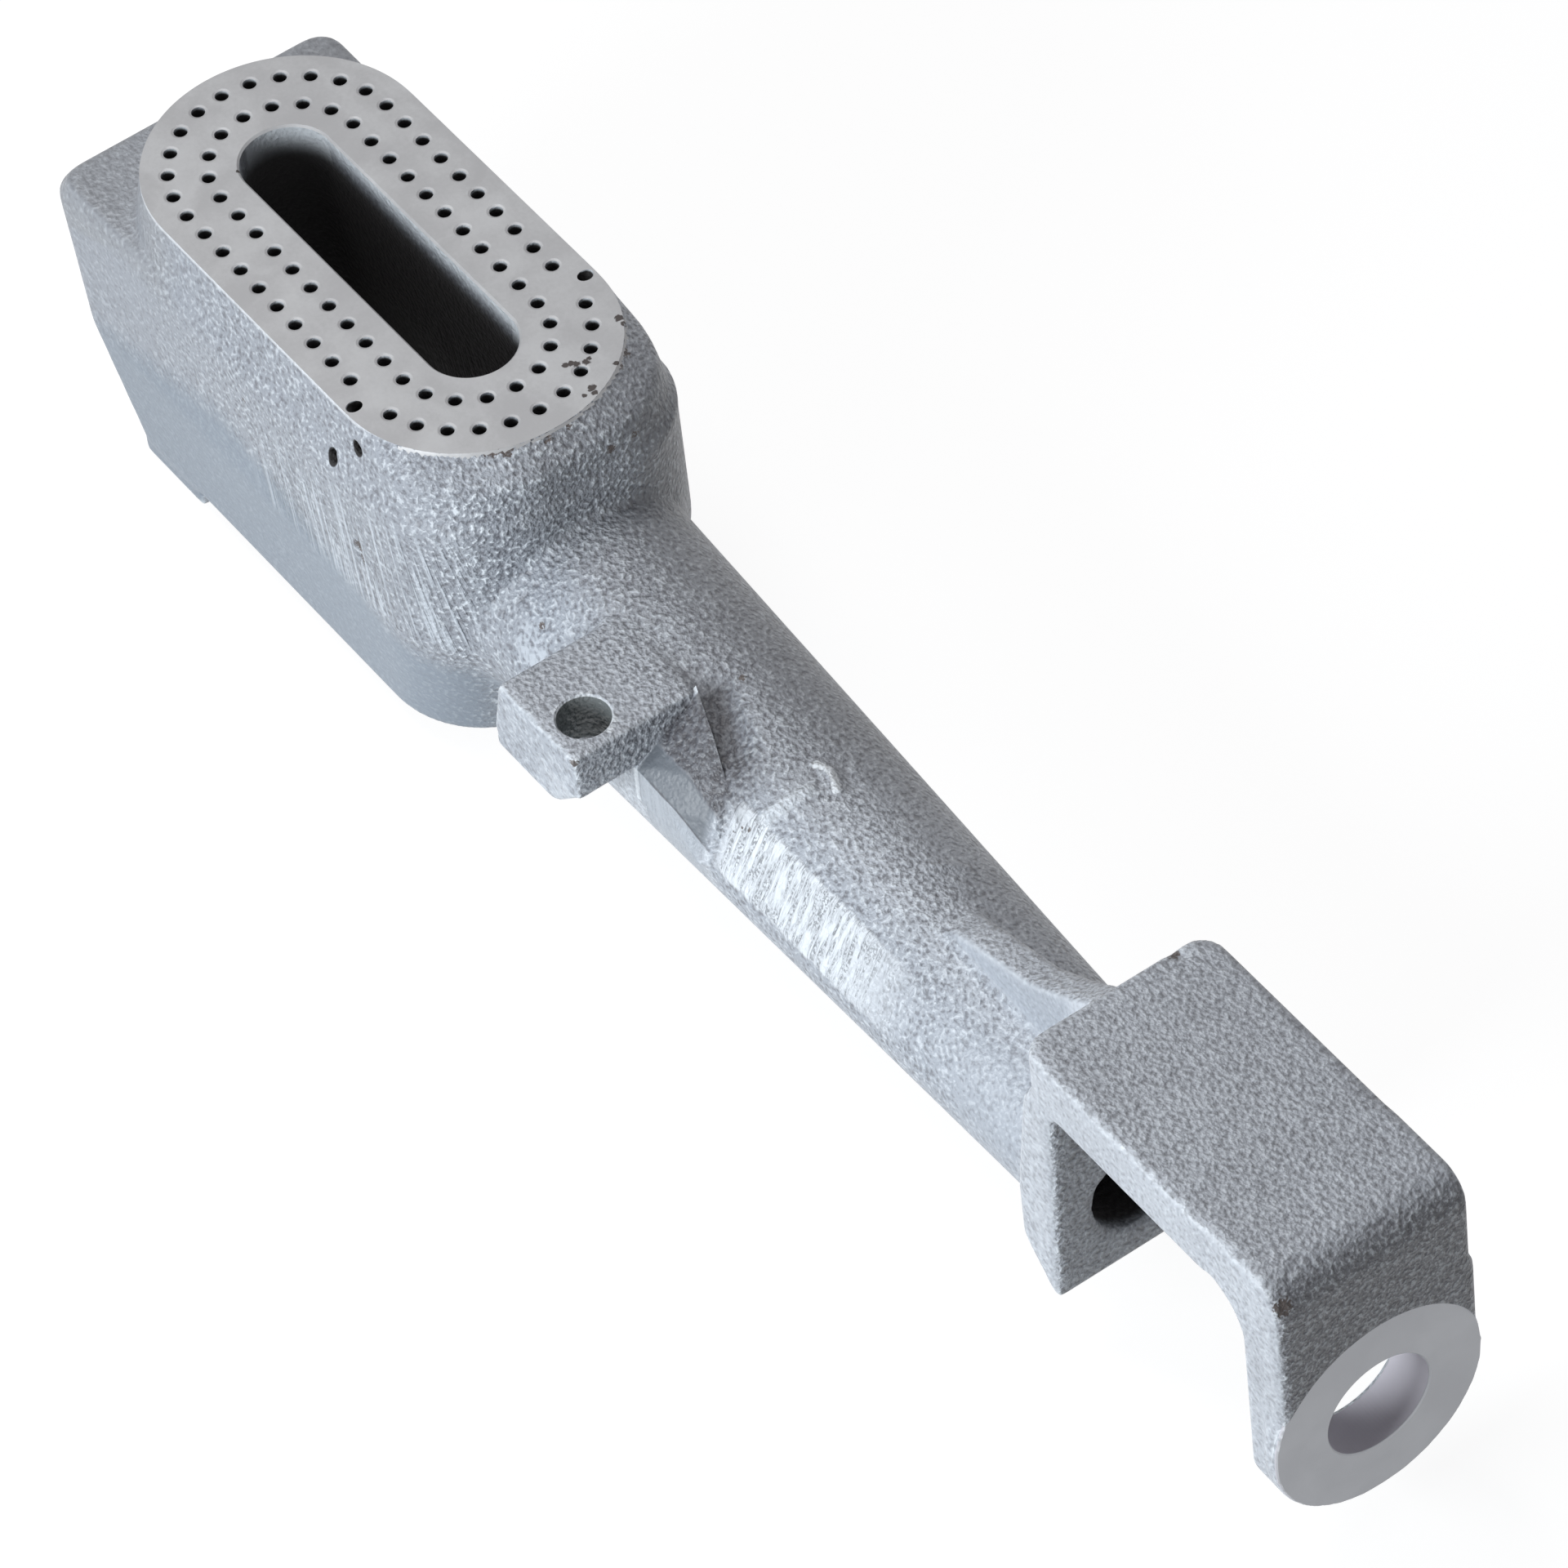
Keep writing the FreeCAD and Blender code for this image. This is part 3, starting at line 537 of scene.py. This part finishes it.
# the ground flat, with the grinder's marks across it, and the worn edge of the lug's root
lie = cast.node("VectorMath", {"operation": "DOT_PRODUCT"},
                {0: where, 1: (facing[2] * tube_climb + tube_taper, facing[1], facing[2])}, "Value")
ground_plane = facing[2] * tube_middle(0) + tube_size(0) - ground_depth
crosswise = cast.noise(cast.stretched(where, (0.0, 0.0, 0.1), (1.3, 0.16, 0.16)), 1.0,
                       detail=3.0, roughness=0.6, distortion=0.2)
ragged = (crosswise - 0.5) * 0.9
ground = ((lie - ground_plane + ragged).rise(-0.42, -0.16) * x.rise(-124, -121)
          * (x + crosswise * 14).fall(-92, -74))
above_facet = z + (x - gusset_start) * 0.22 + (x - facet_bend).most(0) * 0.39 - facet_height
root_flat = x.rise(-150, -140) * x.fall(-124.5, -123) * above_facet.fall(-0.3, 0.1) * y.fall(-14.6, -14.0)
worn = ground.most(root_flat * 0.35)

# marks on the tube and its rib
rise_off = z - tube_middle(x)
from_axis = (y * y + rise_off * rise_off) ** 0.5
on_rib = (from_axis - tube_size(x)).rise(0.5, 1.1) * x.rise(-92, -88) * x.fall(-55, -53)
tube_left = x.rise(-170, -165) * x.fall(-60, -57) * leftward.rise(0.2, 0.7)
smear = cast.spots(where, [((-164.0, -14.4, 11.0), 4.2)], patchy - 0.5) * worm.rise(0.3, 0.6)
ridge_welt = [(on_tube(-117.8 + step * 0.3, -10.6 + step * 1.2), 1.35) for step in range(7)]
arc_welt = [(on_tube(welt_x, welt_y, 0.3), 0.75) for welt_x, welt_y in (
    (-118.5, -0.1), (-117.7, 0.3), (-116.8, 0.6), (-115.9, 0.6), (-115.0, 0.4), (-114.2, 0.0),
    (-113.5, -0.5))]
# painted highlight on the welts
ridge_welt_highlight = cast.spots(where, ridge_welt, (worm - 0.5) * 0.6)
arc_welt_highlight = cast.spots(where, arc_welt, (worm - 0.5) * 0.6)

# marks on the lug and the gusset: painted shadow on the ramp and in the crook beside it, and painted shade
# on the two facets, with a dark crease between them
from_ridge = y + 5.0 + (x - gusset_start) * 0.36
before_lug = x.rise(-138.0, -137.6)
ramp_shadow = (before_lug * x.fall(-125.0, -122.5) * y.rise(-13.0, -12.4)
        * from_ridge.fall(-0.2, 0.3) * z.rise(9, 10))
crook_shade = (before_lug * x.fall(-127, -117) * from_ridge.rise(-0.4, 0.1)
         * from_ridge.fall(2.5, 7.5) * z.rise(10, 12))
facet = before_lug * x.fall(-126, -124) * y.fall(-12.9, -12.4)
upper_facet_shade = facet * above_facet.rise(-0.2, 0.1)
facet_crease_shade = facet * x.rise(-137, -134) * (above_facet.size() + patchy * 0.5).fall(0.3, 0.6)
on_ear = x.rise(-161, -159) * x.fall(-138, -136)
ear_side = on_ear * y.fall(-22, -16) * leftward.rise(0.5, 0.9)
ear_top = on_ear * y.fall(-13, -11) * level_top
from_hole = ((x - lug_hole[0]) ** 2 + (y - lug_hole[1]) ** 2) ** 0.5
# painted shade inside the lug's hole
lug_hole_shade = from_hole.fall(3.85, 4.0) * z.rise(9, 10) * z.fall(18.9, 19.1)

# marks on the bracket
bracket_side = x.rise(-64, -54) * leftward.rise(0.6, 0.9)
flange_face = forward * x.rise(-58, -54) * x.fall(-40, -30)
plate_top = x.rise(-60, -56) * level_top
end_face = forward * x.rise(-12, -8)

# where the grain is filled with paint or ground off, and what is left of it
smooth = low_wall
for mark in (bracket_side * 0.6, worn * 0.5, far_top, on_rib * (0.2 + leftward.rise(0.2, 0.6) * 0.65),
             far_fade, facet * 0.9, smear, ear_side * 0.4, ear_top * 0.3, plate_top * 0.3,
             tube_left * x.rise(-84, -62) * 0.65):
    smooth = smooth.most(mark)
rough = 1 - smooth * 0.8
marks = scratch.rise(0.35, 0.7) * scratched * 0.5 + crosswise.rise(0.35, 0.6) * worn * 0.5
relief = cast.node("Bump", {}, {"Strength": 1.0, "Distance": 0.0006, "Height": grain * rough + marks})

# worn edges with a painted highlight along them, but not along the planes where the casting is cut into its
# pieces further down
head_join = -171.5
lug_far = -160.5
lug_near = -121.5
lug_inner = -4.0
lug_low = -1.0
bracket_join = -55.6
deck_join = 27.4
worn_edge_highlight = cast.node("NewGeometry", {}, {}, "Pointiness").rise(0.515, 0.565)
for axis, cut in ((x, head_join), (x, lug_far), (x, lug_near), (x, bracket_join), (y, lug_inner),
                  (z, lug_low), (z, deck_join)):
    worn_edge_highlight = worn_edge_highlight * (axis - cut).size().rise(0.6, 1.2)

# rust in the nicks and along the broken edges, and painted shade in the crescent where the ground flat
# starts and in the slanted ports
rust_and_shade_places = [
    ((-177.5, -9.4, 35.8), 1.1), ((-176.4, -7.6, 35.6), 1.0), ((-178.9, -11.4, 35.9), 0.8),
    ((-181.0, 14.9, 35.6), 0.8), ((-179.3, 12.8, 35.6), 0.7), ((-174.6, 1.5, 35.7), 0.7),
    ((-174.4, -2.0, 35.7), 0.8), ((-51.7, 9.1, 33.4), 1.0), ((0.0, -13.4, 30.5), 1.5),
    ((-164.4, -12.9, 14.8), 0.65), ((-158.4, -12.8, 16.0), 0.7), ((-159.5, -13.1, 15.1), 0.6),
    ((-157.0, -12.6, 17.6), 0.6), ((-138.4, -25.0, 18.6), 0.7), ((-193.7, -23.3, 13.0), 1.1),
    ((-193.2, -23.3, 11.2), 0.8), ((-220.8, -23.5, 19.9), 0.7), ((-196.0, -18.3, 34.4), 1.7),
    ((-196.0, 18.3, 34.4), 1.7), ((-172.5, 9.5, 30.5), 0.9), ((-171.5, 5.5, 31.0), 0.7),
    ((-136.3, 0.7, 18.8), 0.6), ((-122.7, -13.3, 9.6), 0.8), ((-121.6, -12.6, 10.8), 0.75),
    ((-120.4, -11.9, 11.7), 0.7), ((-119.2, -11.4, 12.2), 0.6)]
rust_and_shade = cast.spots(where, rust_and_shade_places, (fine - 0.5) * 1.6)

# painted shade in the slot, the ports and the bore, and a painted highlight on the rim of the ground deck
beyond = ((x - head_x).size() - half_run).most(0)
from_slot = (beyond * beyond + y * y) ** 0.5
in_slot = z.fall(30.0, face_level - 0.7) * from_slot.fall(7.0, 7.3)
under_deck = z.fall(face_level - 0.8, face_level - 0.2) * from_slot.fall(18.6, 18.9) * z.rise(-14, -13)
in_ports = under_deck * from_slot.rise(7.4, 8.0)
in_tube = (from_axis + x * tube_taper).fall(7.5, 8.2) * x.fall(-50.5, -48.0) * x.rise(-172, -170)
off_slant = (x - (head_x + half_run)).size()
off_middle = y.size()
in_slant = (off_slant.fall(1.0, 1.15) * off_middle.rise(15, 16) * off_middle.fall(19.9, 20.1)
            * z.rise(26, 27) * z.fall(face_level - 0.3, face_level - 0.05))
hollow_shade = in_slot.most(in_ports).most(in_tube).most(in_slant)
for run, drop in flash_ports:
    off_run = x - (head_x + run)
    off_drop = z - (face_level - drop)
    in_flash = (off_run * off_run + off_drop * off_drop * 0.6).fall(1.05, 1.4) * off_middle.rise(12, 13)
    hollow_shade = hollow_shade.most(in_flash)
# painted highlight along the deck's rim
rim_highlight = (from_slot - deck_radius).size().fall(0.15, 0.35) * z.rise(face_level - 0.7, face_level - 0.4)

# the silver grey itself, and then each layer over it: how much there is, and its colour
tone = (broad * 0.5 + patchy * 0.2 + worm * 0.3).rise(0.25, 0.75)
# painted glints on the tops of the grain, strongest on faces that look forward
grain_glint = grain.rise(0.53, 0.67) * rough
grain_pit = grain.fall(0.33, 0.47) * rough
pitted = grain.fall(0.40, 0.55)
colour = cast.mix(tone, (0.375, 0.395, 0.435, 1), (0.495, 0.525, 0.575, 1))
for amount, tint in (
        (head_shade * 0.85, (0.27, 0.29, 0.33, 1)),
        (nape_shade * 0.6, (0.24, 0.25, 0.275, 1)),
        # painted shade on the tube's left-facing side
        (tube_left * (1 - worn) * 0.6, (0.29, 0.32, 0.37, 1)),
        (flange_face * 0.35, (0.60, 0.63, 0.69, 1)),
        (crown_shade * 0.6, (0.27, 0.28, 0.30, 1)),
        (low_wall * 0.7, (0.185, 0.23, 0.285, 1)),
        # painted shade on the leg's front face, with pale specks of grain over it
        (end_face * 0.6, (0.17, 0.17, 0.19, 1)),
        (end_face * fine.rise(0.54, 0.62) * 0.7, (0.62, 0.64, 0.69, 1)),
        (grain_glint * (0.42 + forward * 0.45), (0.80, 0.85, 0.90, 1)),
        (grain_pit * 0.62, (0.10, 0.10, 0.115, 1)),
        (scratch.rise(0.48, 0.62) * scratched * 0.6, (0.62, 0.67, 0.73, 1)),
        (worn_edge_highlight * (1 - facet) * 0.75, (0.74, 0.78, 0.82, 1)),
        (smear * 0.35, (0.66, 0.71, 0.77, 1)),
        (ridge_welt_highlight * 0.4, (0.74, 0.79, 0.84, 1)),
        (arc_welt_highlight * 0.8, (0.80, 0.84, 0.88, 1)),
        (worn * (0.65 + crosswise.rise(0.3, 0.6) * 0.22), (0.71, 0.75, 0.80, 1)),
        (worn * crosswise.fall(0.40, 0.52) * fine.fall(0.42, 0.54) * 0.8, (0.18, 0.19, 0.21, 1)),
        # painted shade on both facets of the gusset
        (facet * 0.5, (0.28, 0.31, 0.35, 1)),
        (upper_facet_shade * 0.94, (0.115, 0.13, 0.15, 1)),
        (facet_crease_shade * 0.7, (0.06, 0.06, 0.07, 1)),
        (ramp_shadow * (0.8 + pitted * 0.2), (0.065, 0.065, 0.075, 1)),
        (crook_shade * (0.7 + pitted * 0.25), (0.06, 0.06, 0.07, 1)),
        (lug_hole_shade * 0.8, (0.10, 0.115, 0.11, 1)),
        (rust_and_shade * 0.9, (0.07, 0.05, 0.042, 1)),
        (rim_highlight * 0.6, (0.72, 0.74, 0.77, 1)),
        (hollow_shade, (0.012, 0.011, 0.012, 1))):
    colour = cast.mix(amount, colour, tint)
cast_material = cast.finish("OutputMaterial", cast.node("BsdfPrincipled", {}, {
    "Base Color": colour, "Roughness": 0.52 - fine * 0.2 + hollow_shade * 0.4, "Metallic": 0.0,
    "Normal": relief}))

# The machined faces: the deck and the injector's seat are bare iron, ground and faced after the
# painting. They are matt, faintly clouded, and have a few open pores.
bare_low = (0.42, 0.42, 0.43, 1)
bare_high = (0.515, 0.52, 0.53, 1)
pore_dark = (0.03, 0.02, 0.018, 1)
bore_pale = (0.66, 0.635, 0.69, 1)
seat_grey = (0.44, 0.455, 0.49, 1)
pore_places = [
    ((-183.9, 7.2, face_level), 0.55), ((-183.7, 8.0, face_level), 0.55), ((-183.1, 8.5, face_level), 0.6),
    ((-182.5, 9.7, face_level), 0.6), ((-182.9, 10.4, face_level), 0.45), ((-181.4, 8.2, face_level), 0.5),
    ((-178.1, 7.6, face_level), 0.75), ((-177.2, 7.4, face_level), 0.5), ((-177.6, 6.0, face_level), 0.45),
    ((-186.4, 17.8, face_level), 0.7), ((-185.2, 17.8, face_level), 0.6), ((-179.8, 12.7, face_level), 0.5),
    ((-243.5, -6.3, face_level), 0.4)]
machined = Paint(bpy.data.materials.new("machined face"))
where = machined.place()
face_x = where.parts()[0]
cloud = machined.noise(where, 0.11, detail=3.0, roughness=0.55, distortion=0.4)
speck = machined.noise(where, 1.5, detail=3.0, roughness=0.6, distortion=0.2)
pores = machined.spots(where, pore_places, (speck - 0.5) * 1.6)
seat_bore = face_x.fall(-0.4, -0.1) * face_x.rise(-12, -10)
seat_face = face_x.rise(-0.4, -0.2)
bare = machined.mix((cloud * 0.75 + speck * 0.25).rise(0.35, 0.7), bare_low, bare_high)
bare = machined.mix(pores * 0.97, bare, pore_dark)
bare = machined.mix(seat_bore, bare, bore_pale)
bare = machined.mix(seat_face * 0.6, bare, seat_grey)
texture = machined.node("Bump", {}, {"Strength": 0.3, "Distance": 0.00004, "Height": speck - pores * 2})
machined_material = machined.finish("OutputMaterial", machined.node("BsdfPrincipled", {}, {
    "Base Color": bare, "Roughness": 0.5 + speck * 0.12 + seat_bore * 0.3,
    "Metallic": 0.3 - pores * 0.3 - seat_bore * 0.25 + seat_face * 0.45, "Normal": texture}))

casting.data.materials.clear()
casting.data.materials.append(cast_material)
casting.data.materials.append(machined_material)
for face in casting.data.polygons:
    middle_x, middle_y, middle_z = face.center / millimetre
    off_axis = math.hypot(middle_y, middle_z)
    on_deck = middle_z > face_level - 0.35 and face.normal.z > 0.6 and middle_x < -160
    on_seat = -0.25 < middle_x < 0.1 and face.normal.x > 0.4 and off_axis < seat_radius + 0.03
    in_seat_bore = middle_x > -8.6 and off_axis < injector_radius + 0.05
    face.material_index = 1 if on_deck or on_seat or in_seat_bore else 0
    face.use_smooth = True

# Injector seat: the faced iron ring round the injector's bore, cast as the thick end of the
# bracket's leg and machined from its front. It is cut from the casting first.
seat_thickness = 1.5
sharp_angle = math.radians(42)
faced = 0.9


def split_off(name, shape):
    """The part of the casting inside a shape becomes a piece; the rest stays."""
    piece = new_object(name, casting.data.copy())
    boolean(piece, shape.copy(), "INTERSECT")
    boolean(casting, shape)
    return piece


def hand_over(piece, slot, *nodes):
    """Sets the piece's sharp edges and flat faces, hangs it on the root, and hides the parts it stands for.
    """
    piece.data.set_sharp_from_angle(angle=sharp_angle)
    for face in piece.data.polygons:
        if face.material_index == 1 and max(face.normal.x, face.normal.z) > faced:
            face.use_smooth = False
    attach(piece, "root")
    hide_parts(*nodes)


zone = bmesh.new()
add_rod(zone, (0, 0, 0), along_tube, -seat_thickness, 1, seat_radius, sides=128)
hand_over(split_off("seat_ring", zone), "machined_face", "injector_seat")

# Port deck: the raised oval on top of the head, of the same iron, ground flat and drilled. The
# gas gallery runs under it, and it is one with the walls below.
zone = bmesh.new()
add_block(zone, (-290, -40, deck_join), (-150, 40, 60))
hand_over(split_off("drilled_deck", zone), "machined_face", "port_deck")

# Ignition lug: the flat iron ear with its gusset, cast on the tube's left shoulder, where a screw
# holds the pilot or the electrode. It is cut off just inside the tube's skin.
lug_outer = -30
lug_high = 24.0
skin = 0.7
core_end = -172.0
ear = bmesh.new()
add_block(ear, (lug_far, lug_outer, lug_low), (lug_near, lug_inner, lug_high))
ear_mesh = bpy.data.meshes.new("ear")
ear.to_mesh(ear_mesh)
ear.free()
ear_zone = new_object("ear", ear_mesh)
core = bmesh.new()
add_turned(core, (tube_start, 0, 0), (core_end - tube_start, 0, tube_middle(core_end)),
           [(0, tube_radius - skin), (tube_start - core_end, tube_size(core_end) - skin)], sides=96)
boolean(ear_zone, core)
zone = bmesh.new()
zone.from_mesh(ear_zone.data)
bpy.data.objects.remove(ear_zone)
hand_over(split_off("lug_and_gusset", zone), "painted_casting", "ignition_lug", "lug_root")

# Injector bracket: the flange across the tube's mouth, the plate over the air gap, the bend and
# the leg. It is cast iron like the tube, and open at both sides so that air is drawn in.
zone = bmesh.new()
add_block(zone, (bracket_join, -40, -40), (20, 40, 60))
hand_over(split_off("injector_bracket", zone), "painted_casting",
          "mouth_flange", "bracket_plate", "bracket_bend", "bracket_leg")

# Mixing tube: the iron cone between bracket and head, where gas and air mix, with the rib that
# is cast on its crown and stiffens the bracket.
zone = bmesh.new()
add_block(zone, (head_join, -40, -40), (-40, 40, 60))
hand_over(split_off("tube_and_rib", zone), "painted_casting", "mixing_tube", "tube_rib")

# Burner head: what is left, the hollow iron body with the neck towards the tube, its four walls,
# the collar round the slot, the floor and the foot pad that the burner stands on.
casting.name = "burner_head"
hand_over(casting, "painted_casting", "slot_collar", "head_near_wall", "head_left_wall",
          "head_right_wall", "head_far_wall", "head_floor", "foot_pad", "neck")
